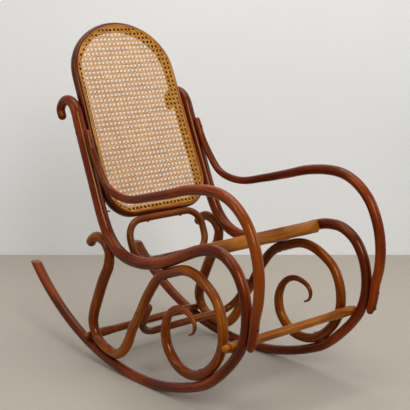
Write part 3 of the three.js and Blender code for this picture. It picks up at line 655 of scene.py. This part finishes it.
def backOutline(inset):
    place = backPlace
    radius = place["cornerRadius"]
    cornerAlong = place["origin"].y + radius * place["upward"].y
    corner = cornerPoints(sideAt(cornerAlong) - place["postRadius"] - place["touchGap"], radius, inset)
    archFoot = place["length"] - place["archRise"]
    top = place["topHalfWidth"] - inset
    side = linePoints(corner[-1], Vector((top, archFoot)), flatDetail["sideSteps"])[:-1]
    arch = arcPoints((0, archFoot), top, place["archRise"] - inset, 0, 90, flatDetail["archSteps"])
    return mirrored(corner + side + arch)


def seatOutline(inset):
    place = seatPlace
    corner = cornerPoints(place["rearHalfWidth"], place["cornerRadius"], inset)
    front = Vector((place["frontHalfWidth"] - inset, place["length"] - inset))
    return mirrored(corner + linePoints(corner[-1], front, flatDetail["sideSteps"]))


# The grain is how far off the ring's outer edge, how high and how far along the ring a point lies.
def grainRound(shape, outline, start):
    layer = grainLayer(shape)
    lengths = [0.0]
    loop = outline + outline[:1]
    for first, second in zip(loop, loop[1:]):
        lengths.append(lengths[-1] + (second - first).length)
    for vert in shape.verts:
        flat = vert.co.xy
        best = None
        for index, (first, second) in enumerate(zip(loop, loop[1:])):
            run = second - first
            share = min(max((flat - first).dot(run) / max(run.length_squared, tiny), 0), 1)
            apart = flat - (first + run * share)
            if best is None or apart.length < best[0]:
                best = apart.length, lengths[index] + run.length * share, run.cross(apart)
        off = best[0] if best[2] > 0 else -best[0]
        vert[layer] = Vector((off, vert.co.z, best[1] + start))


def ringBoard(outer, inner, base, thickness, rounding, segments, grainStart):
    shape = bmesh.new()
    loops = []
    for outline in (outer, inner):
        verts = [shape.verts.new((*point, base)) for point in outline]
        loops += [shape.edges.new(pair) for pair in zip(verts, verts[1:] + verts[:1])]
    faces = bmesh.ops.bridge_loops(shape, edges=loops)["faces"]
    raised = bmesh.ops.extrude_face_region(shape, geom=faces)["geom"]
    bmesh.ops.translate(shape, vec=(0, 0, thickness), verts=vertsOf(raised))
    bmesh.ops.recalc_face_normals(shape, faces=shape.faces)
    edges = [edge for edge in shape.edges
             if edge.is_manifold and edge.calc_face_angle(0) > flatDetail["edgeAngle"]
             and abs(edge.verts[0].co.z - edge.verts[1].co.z) < thickness / 2]
    roundEdges(shape, edges, rounding, segments)
    grainRound(shape, outer, grainStart)
    return shape


weave = {
    "pitch": 0.0157,
    "pairGap": 0.0043,
    "strandWidth": 0.0022,
    "slantWidth": 0.0025,
    "strandDepth": 0.0009,
    "strandSides": 4,
    "wave": 0.0004,
    "middle": 0.0012,
    "endShare": 0.2,
    "toneReach": 40,
    "sharp": 180,
}


# The stretch of a straight line that lies within an outline
def stretchInside(start, direction, outline):
    crossings = []
    for first, second in zip(outline, outline[1:] + outline[:1]):
        run = second - first
        turn = direction.cross(run)
        if abs(turn) < tiny:
            continue
        share = (first - start).cross(direction) / turn
        if 0 <= share < 1:
            crossings.append((first - start).cross(run) / turn)
    if len(crossings) < 2 or max(crossings) - min(crossings) < 2 * weave["strandWidth"]:
        return None
    return min(crossings), max(crossings)


# One strand, made along X at steps of half a pitch, waving over and under
def addStrand(net, start, direction, stretch, step, phase, level, width):
    low, high = stretch
    first = math.ceil(low / step + weave["endShare"])
    last = math.floor(high / step - weave["endShare"])
    if last <= first:
        return
    strand = bmesh.new()
    layer = grainLayer(strand)
    bmesh.ops.create_circle(strand, segments=weave["strandSides"], radius=0.5,
                            matrix=Matrix.Rotation(math.pi / 2, 4, "Y"))
    bmesh.ops.scale(strand, vec=(1, width, weave["strandDepth"]), verts=strand.verts)
    bmesh.ops.translate(strand, vec=(first * step, 0, 0), verts=strand.verts)
    drawnOut(strand, strand.edges[:], (step, 0, 0), last - first)
    offset = random.uniform(0, weave["toneReach"])
    aside = Vector((-direction.y, direction.x))
    for vert in strand.verts:
        index = round(vert.co.x / step)
        along = low if index == first else high if index == last else vert.co.x
        up = vert.co.z + (weave["wave"] if (index + phase) % 2 else -weave["wave"])
        vert[layer] = Vector((vert.co.y + offset, up, along + offset))
        flat = start + direction * along + aside * vert.co.y
        vert.co = Vector((flat.x, flat.y, up + level))
    capped(strand)
    part = bpy.data.meshes.new("strand")
    strand.to_mesh(part)
    strand.free()
    net.from_mesh(part)
    bpy.data.meshes.remove(part)


# The six-way weave: pairs of strands upright and level, and single ones both ways on the slant
def wovenNet(outline, surface):
    pitch, gap = weave["pitch"], weave["pairGap"] / 2
    reach = max(point.length for point in outline)
    count = math.ceil(reach / pitch) + 1
    slant = Vector((1, 1)).normalized()
    nets = {}
    for family in ("upright", "level", "rising", "falling"):
        paired = family in ("upright", "level")
        width = weave["strandWidth" if paired else "slantWidth"]
        step = pitch / 2 * (1 if paired else slant.x)
        net = bmesh.new()
        grainLayer(net)
        for index in range(-2 * count, 2 * count):
            if family == "upright":
                lines = [(Vector((index * pitch + shift, 0)), Vector((0, 1)), 0) for shift in (-gap, gap)]
            elif family == "level":
                lines = [(Vector((0, index * pitch + shift)), Vector((1, 0)), 1) for shift in (-gap, gap)]
            else:
                towards = slant if family == "rising" else Vector((-slant.x, slant.y))
                lines = [(Vector(((index + 0.5) * pitch, 0)), towards, int(family == "rising"))]
            for which, (start, direction, phase) in enumerate(lines):
                stretch = stretchInside(start, direction, outline)
                if stretch is not None:
                    addStrand(net, start, direction, stretch, step, phase + which,
                              surface + weave["middle"], width)
        nets[family] = net
    return nets


def addCaned(name, place, matrix, outlineAt):
    half = place["thickness"] / 2
    board = ringBoard(outlineAt(0), outlineAt(place["width"]), -half, place["thickness"],
                      place["rounding"], flatDetail["segments"], grainStarts["frame"])
    bmesh.ops.transform(board, matrix=matrix, verts=board.verts)
    finishPiece(f"{name}FrameBent", board, "frameWood", f"{name}_frame", flatDetail["sharp"])
    face = half + canePlace["lift"]
    ring = ringBoard(outlineAt(canePlace["splineOuter"]), outlineAt(canePlace["splineInner"]), face,
                     canePlace["splineHeight"], canePlace["splineRounding"], canePlace["splineSegments"],
                     grainStarts["spline"])
    bmesh.ops.transform(ring, matrix=matrix, verts=ring.verts)
    finishPiece(f"{name}SplineReed", ring, "spline", f"{name}_cane_spline", flatDetail["sharp"])
    outline = outlineAt(canePlace["splineInner"] - canePlace["tuck"])
    for family, net in wovenNet(outline, face).items():
        bmesh.ops.transform(net, matrix=matrix, verts=net.verts)
        finishPiece(f"{name}Cane_{family}", net, "cane", f"{name}_cane", weave["sharp"])


addCaned("back", backPlace, backMatrix, backOutline)
addCaned("seat", seatPlace, seatMatrix, seatOutline)
print("back and seat caned")

# Front rail of the seat, drawn in the seat's plane
frontRail = {
    "depth": 0.022,
    "height": 0.039,
    "rise": 0.0155,
    "chamfer": 0.009,
    "gap": 0.0003,
    "rounding": 0.0028,
    "segments": 3,
    "steps": 24,
    "edgeAngle": 0.5,
    "sharp": 50,
}


def makeFrontRail():
    look = frontRail
    low = look["rise"] - look["height"]
    start = seatPlace["length"] + look["gap"]
    profile = [(0, look["rise"]), (0, low), (look["depth"] - look["chamfer"], low),
               (look["depth"], low + look["chamfer"]), (look["depth"], look["rise"])]
    shape = bmesh.new()
    halfWidth = seatPlace["frontHalfWidth"]
    verts = [shape.verts.new((-halfWidth, start + ahead, up)) for ahead, up in profile]
    edges = [shape.edges.new(pair) for pair in zip(verts, verts[1:] + verts[:1])]
    drawnOut(shape, edges, (2 * halfWidth / look["steps"], 0, 0), look["steps"])
    capped(shape)
    bmesh.ops.recalc_face_normals(shape, faces=shape.faces)
    sharp = [edge for edge in shape.edges if edge.calc_face_angle(0) > look["edgeAngle"]]
    roundEdges(shape, sharp, look["rounding"], look["segments"])
    layer = grainLayer(shape)
    for vert in shape.verts:
        vert[layer] = Vector((vert.co.y, vert.co.z, vert.co.x + grainStarts["frontRail"]))
    bmesh.ops.transform(shape, matrix=seatMatrix, verts=shape.verts)
    finishPiece("seatRailFront", shape, "honeyWood", "seat_front_rail", look["sharp"])


makeFrontRail()

# The loop between back and seat, and the brace under the seat
loopLook = {
    "foot": Vector((0, 0.08301, 0.33388)),
    "upward": Vector((0, 0.34027, 0.94033)),
    "height": 0.14005,
    "halfWidth": 0.152,
    "cornerRadius": 0.058,
    "cornerSteps": 8,
    "radius": 0.0115,
    "closeReach": 1e-5,
}


def planarPath(look, outline, closed):
    points = [look["foot"] + acrossAxis * point.x + look["upward"] * point.y for point in outline]
    return BentPath(points, [look["radius"]] * len(points), rodDetail["planarSamples"], closed)


def makeLoop():
    look = loopLook
    radius = look["cornerRadius"]
    aside, top = look["halfWidth"] - radius, look["height"] - radius
    outline = []
    for quarter, centre in enumerate(((aside, top), (-aside, top), (-aside, radius), (aside, radius))):
        outline += arcPoints(centre, radius, radius, 90 * quarter, 90 * (quarter + 1), look["cornerSteps"])
    path = planarPath(look, outline, True)
    total = path.lengths[-1]
    steps = round(total / rodDetail["spacing"])
    shape = bmesh.new()
    bmesh.ops.create_circle(shape, segments=rodDetail["sides"], radius=look["radius"])
    drawnOut(shape, shape.edges[:], (0, 0, total / steps), steps)
    markGrain(shape, grainStarts["loop"])
    bendAlong(shape, path, acrossAxis.cross(look["upward"]))
    bmesh.ops.remove_doubles(shape, verts=shape.verts, dist=look["closeReach"])
    finishPiece("backLoopBent", shape, "loopWood", "back_loop")


braceLook = {
    "foot": Vector((0, 0.01472, 0.13251)),
    "upward": Vector((0, -0.50936, 0.86055)),
    "height": 0.13133,
    "halfWidth": (0.20714, 0.20901),
    "cornerRadius": 0.07,
    "cornerSteps": 10,
    "legSteps": 4,
    "middlePlaces": (-0.08, 0, 0.08),
    "radius": 0.012,
}


def makeBrace():
    look = braceLook
    radius, (low, high) = look["cornerRadius"], look["halfWidth"]
    right = arcPoints((low - radius, radius), radius, radius, -90, 0, look["cornerSteps"])
    right += linePoints(right[-1], Vector((high, look["height"])), look["legSteps"])
    left = [Vector((-point.x, point.y)) for point in reversed(right)]
    outline = left + [Vector((aside, 0)) for aside in look["middlePlaces"]] + right
    path = planarPath(look, outline, False)
    shape = bentRod(path, acrossAxis.cross(look["upward"]), grainStarts["brace"])
    finishPiece("underBraceBent", shape, "scrollWood", "under_brace")


makeLoop()
makeBrace()

# Turned stretchers, each drawn from its middle out to its ball end
stretchers = {
    "front": {
        "along": -0.45353, "up": 0.22581, "passRadius": 0.01498,
        "finish": "honeyWood", "slot": "honey_wood",
    },
    "rear": {
        "along": 0.22871, "up": 0.08327, "passRadius": 0.01223,
        "finish": "scrollWood", "slot": "scroll_wood",
    },
}
stretcherLook = {
    "body": 0.013,
    "bodySteps": 7,
    "swell": 0.0155,
    "taper": 0.06,
    "taperSteps": 8,
    "swellLength": 0.03,
    "swellSteps": 5,
    "passInner": 0.016,
    "passOuter": 0.007,
    "passEdge": 0.002,
    "ballRadius": 0.012,
    "ballReach": 0.0185,
    "ballSteps": 12,
    "neck": 0.006,
    "sides": 32,
    "sharp": 40,
}


def smoothBetween(low, high, share):
    return low + (high - low) * (share * share * (3 - 2 * share))


def makeStretcher(name, own):
    look = stretcherLook
    side = sideAt(own["along"])
    swellEnd = side - look["passInner"] - look["swellLength"]
    half = []
    for step in range(look["bodySteps"]):
        half.append((look["body"], (swellEnd - look["taper"]) * step / look["bodySteps"]))
    for step in range(look["taperSteps"]):
        share = step / look["taperSteps"]
        half.append((smoothBetween(look["body"], look["swell"], share),
                     swellEnd - look["taper"] * (1 - share)))
    for step in range(look["swellSteps"]):
        share = step / look["swellSteps"]
        half.append((smoothBetween(look["swell"], own["passRadius"], share),
                     swellEnd + look["swellLength"] * share))
    half.append((own["passRadius"], side - look["passInner"]))
    for angle in (0, 30, 60, 90):
        turn = math.radians(angle)
        half.append((own["passRadius"] - look["passEdge"] * (1 - math.cos(turn)),
                     side + look["passOuter"] - look["passEdge"] * (1 - math.sin(turn))))
    neckAngle = math.pi - math.asin(look["neck"] / look["ballRadius"])
    for step in range(look["ballSteps"] + 1):
        angle = neckAngle * (1 - step / look["ballSteps"])
        half.append((look["ballRadius"] * math.sin(angle),
                     side + look["ballReach"] + look["ballRadius"] * math.cos(angle)))
    profile = [(radius, -out) for radius, out in reversed(half[1:])] + half
    shape = turned(profile, look["sides"])
    markGrain(shape, grainStarts["stretcher"][name])
    matrix = Matrix.Translation((0, own["along"], own["up"])) @ Matrix.Rotation(math.pi / 2, 4, "Y")
    bmesh.ops.transform(shape, matrix=matrix, verts=shape.verts)
    finishPiece(f"{name}StretcherTurned", shape, own["finish"], f"{name}_stretcher",
                look["sharp"])


for stretcherName, stretcherOwn in stretchers.items():
    makeStretcher(stretcherName, stretcherOwn)
print("loop, brace, rail and stretchers made")

# Spacers between the seat frame and the side rails: turned, with softened ends and a slight waist
spacerLook = {
    "along": -0.06748,
    "up": 0.38345,
    "inner": 0.18201,
    "outer": 0.21868,
    "radius": 0.008,
    "waist": 0.00752,
    "edge": 0.001,
    "sides": 24,
}


def makeSpacer(hand, side):
    look = spacerLook
    long, radius, edge = look["outer"] - look["inner"], look["radius"], look["edge"]
    profile = [(0, 0), (radius - edge, 0), (radius, edge), (look["waist"], long / 2),
               (radius, long - edge), (radius - edge, long), (0, long)]
    shape = turned(profile, look["sides"])
    markGrain(shape, grainStarts["spacer"][hand])
    place = Vector((side * look["inner"], look["along"], look["up"]))
    matrix = Matrix.Translation(place) @ Matrix.Rotation(side * math.pi / 2, 4, "Y")
    bmesh.ops.transform(shape, matrix=matrix, verts=shape.verts)
    finishPiece(f"spacer_{hand}", shape, "darkWood", f"seat_spacer_{hand}")


for hand, side in hands.items():
    makeSpacer(hand, side)

# Screws on the sitter's right: the middle of the head's top, which way it faces, and its length.
# Those on the left are their mirror images.
screws = {
    "screw_arm_post_upper": ((-229.55, 201.42, 729.55), (0, -0.9235, 0.3835), 42.94),
    "screw_arm_post_lower": ((-229.85, 190.41, 703.14), (0, -0.9226, 0.3856), 42.94),
    "screw_arm_front_upper": ((-250.9, -561.59, 303.28), (0, -0.9972, -0.0741), 48.70),
    "screw_arm_front_lower": ((-250.65, -552.31, 252.75), (0, -0.959, -0.2833), 48.70),
    "screw_hook": ((-231.11, 149.64, 396.17), (0, 0.7427, -0.6696), 49.90),
    "screw_scroll_rear": ((-231.79, 123.22, 75.69), (0, -0.1924, 0.9813), 49.90),
    "screw_scroll_crown": ((-239.87, -165.69, 355.11), (0, -0.3085, -0.9512), 49.90),
    "screw_scroll_front": ((-244.24, -319.93, 125.85), (0, 0.4662, 0.8847), 49.90),
    "screw_back_upper": ((-249.09, 255.76, 743.83), (-1, 0, 0), 56.90),
    "screw_back_lower": ((-251.91, 155.06, 503.15), (-1, 0, 0), 56.90),
    "screw_seat_front": ((-263.42, -331.08, 476.62), (-1, 0, 0), 57.83),
    "bolt_seat_side": ((-257.18, -67.48, 383.45), (-1, 0, 0), 91.87),
    "screw_brace": ((-253.89, -40.84, 225.6), (-1, 0, 0), 49.90),
    "screw_front_stretcher": ((-249.35, -506.04, 223.82), (0, -0.9993, -0.0378), 52.26),
    "screw_rear_stretcher": ((-227.89, 264.82, 48.97), (0, 0.725, -0.6887), 49.51),
    "screw_loop_top": ((-68.4, 125.26, 452.66), (0, -0.386, -0.9225), 42.90),
    "screw_loop_foot": ((-60.8, 96.24, 329.32), (0, 0.9454, -0.3259), 42.90),
}
screwLook = {
    "headRadius": 0.005,
    "headHeight": 0.0022,
    "rim": 0.0008,
    "shank": 0.0024,
    "pointRadius": 0.00144,
    "pointEnd": 0.002,
    "pointLength": 0.006,
    "slot": 0.0011,
    "slotDepth": 0.0009,
    "slotAbove": 0.00096,
    "sides": 12,
    "sharp": 30,
}


# A screw along Z with its slotted head upward, whose underside is at zero
def makeScrew(length):
    look = screwLook
    tip = look["headHeight"] - length
    profile = [(0, tip), (look["pointRadius"], tip + look["pointEnd"]),
               (look["shank"], tip + look["pointLength"]), (look["shank"], 0), (look["headRadius"], 0)]
    for angle in (0, 30, 60):
        turn = math.radians(angle)
        profile.append((look["headRadius"] * math.cos(turn),
                        look["rim"] + (look["headHeight"] - look["rim"]) * math.sin(turn)))
    profile.append((0, look["headHeight"]))
    shape = turned(profile, look["sides"])
    for side in (-1, 1):
        bmesh.ops.bisect_plane(shape, geom=wholeOf(shape), plane_co=(side * look["slot"] / 2, 0, 0),
                               plane_no=(1, 0, 0), dist=meshing["cut"])
    slotFaces = []
    for face in shape.faces:
        centre = face.calc_center_median()
        if abs(centre.x) < look["slot"] / 2 and centre.z > look["slotAbove"]:
            slotFaces.append(face)
    sunk = bmesh.ops.extrude_face_region(shape, geom=slotFaces)["geom"]
    bmesh.ops.delete(shape, geom=slotFaces, context="FACES")
    bmesh.ops.translate(shape, vec=(0, 0, -look["slotDepth"]), verts=vertsOf(sunk))
    return shape


for screwName, (top, facing, length) in screws.items():
    for hand, side in hands.items():
        place = Vector((-side * top[0], top[1], top[2])) / 1000
        outward = Vector((-side * facing[0], facing[1], facing[2]))
        shape = makeScrew(length / 1000)
        turn = Matrix.Rotation(random.uniform(0, math.pi), 4, "Z")
        lower = Matrix.Translation((0, 0, -screwLook["headHeight"]))
        aimed = Matrix.Translation(place) @ outward.to_track_quat("Z", "Y").to_matrix().to_4x4()
        bmesh.ops.transform(shape, matrix=aimed @ turn @ lower, verts=shape.verts)
        finishPiece(f"{screwName}_head_{hand}", shape, "steel", f"{screwName}_{hand}",
                    screwLook["sharp"])
print("screws set")


# Floor, wall, lamps and camera
stage = {
    "towards": Vector((0.6691, 0.7431, 0)),
    "wallPlace": 1.365,
    "wallHeight": 5,
    "reach": 5,
    "floor": rgb(162, 154, 142),
    "wall": rgb(232, 233, 233),
    "shade": rgb(170, 166, 158),
    "cloud": ((1.5, 1.5, 1.5), 3),
    "cloudBand": (0.3, 0.7),
    "cloudShare": 0.06,
    "surface": {"Roughness": 0.7},
    "worldColour": (1, 0.98, 0.95, 1),
    "world": 0.25,
    "worldSeen": 0.62,
}
stageAside = stage["towards"].cross(Vector((0, 0, 1)))


def makePaint(name, colour):
    start, shader = newMaterial(name, stage["surface"])
    cloud = placeSignal(start).noise(*stage["cloud"]).band(*stage["cloudBand"])
    plug((cloud * stage["cloudShare"]).between(colour, stage["shade"]), shader, "Base Color")
    return start, shader


# The wall is only there for eyes in front of it, so that views from behind see the chair.
def openFromBehind(start, shader):
    paint = Signal(start.tree, shader.outputs["BSDF"])
    behind = start.node("ShaderNodeNewGeometry", output="Backfacing")
    clear = start.node("ShaderNodeBsdfTransparent")
    both = start.node("ShaderNodeMixShader", None, {0: behind, 1: paint, 2: clear})
    plug(both, start.tree.nodes["Material Output"], "Surface")


def addStagePiece(name, corners):
    shape = bmesh.new()
    shape.faces.new([shape.verts.new(stageAside * aside + stage["towards"] * depth + Vector((0, 0, up)))
                     for aside, depth, up in corners])
    mesh = bpy.data.meshes.new(name)
    shape.to_mesh(mesh)
    shape.free()
    start, shader = makePaint(f"{name}Paint", stage[name])
    if name == "wall":
        openFromBehind(start, shader)
    mesh.materials.append(materials[f"{name}Paint"])
    piece = bpy.data.objects.new(name, mesh)
    bpy.context.scene.collection.objects.link(piece)


far, high, reach = stage["wallPlace"], stage["wallHeight"], stage["reach"]
addStagePiece("floor", ((-reach, -reach, 0), (reach, -reach, 0), (reach, reach, 0), (-reach, reach, 0)))
addStagePiece("wall", ((-reach, far, 0), (reach, far, 0), (reach, far, high), (-reach, far, high)))

lamps = {
    "frontLamp": {"place": (-1.7, -3.6, 3.1), "aim": (0, 0, 0.5), "size": (1.2, 1.8), "power": 98},
    "ceilingLamp": {"place": (0.1, -0.3, 3.7), "aim": (0.1, -0.2, 0.4), "size": (2.8, 2.8), "power": 84},
    "fillLamp": {"place": (3.0, -2.4, 2.0), "aim": (0, 0, 0.5), "size": (1.2, 1.2), "power": 13},
    "edgeLamp": {"place": (-3.3, 0.3, 2.6), "aim": (0, 0, 0.6), "size": (0.4, 1.8), "power": 24},
}
for lampName, look in lamps.items():
    lamp = bpy.data.lights.new(lampName, "AREA")
    lamp.shape = "RECTANGLE"
    lamp.size, lamp.size_y = look["size"]
    lamp.energy = look["power"]
    beam = Vector(look["aim"]) - Vector(look["place"])
    lampObject = bpy.data.objects.new(lampName, lamp)
    lampObject.location = look["place"]
    lampObject.rotation_euler = beam.to_track_quat("-Z", "Y").to_euler()
    bpy.context.scene.collection.objects.link(lampObject)

# The world looks brighter where it is seen, straight or mirrored, than it lights.
world = bpy.data.worlds.new("room")
world.use_nodes = True
background = world.node_tree.nodes["Background"]
background.inputs["Color"].default_value = stage["worldColour"]
worldStart = Signal(world.node_tree)
seen = sum(worldStart.node("ShaderNodeLightPath", output=f"Is {ray} Ray")
           for ray in ("Camera", "Glossy", "Transmission"))
plug(seen.band(0, 1, stage["world"], stage["worldSeen"]), background, "Strength")
bpy.context.scene.world = world
bpy.context.scene.view_settings.view_transform = "Standard"

cameraLook = {
    "place": (-2.1210, -2.4265, 1.1984),
    "pitch": 11.9125,
    "heading": -42,
    "lens": 91.756,
    "sensor": 36,
}
heading, pitch = math.radians(cameraLook["heading"]), math.radians(cameraLook["pitch"])
camera = bpy.data.cameras.new("photoCamera")
camera.lens = cameraLook["lens"]
camera.sensor_width = cameraLook["sensor"]
cameraObject = bpy.data.objects.new("photoCamera", camera)
cameraObject.location = cameraLook["place"]
cameraObject.rotation_euler = (math.pi / 2 - pitch, 0, heading)
bpy.context.scene.collection.objects.link(cameraObject)
bpy.context.scene.camera = cameraObject
print("stage set")
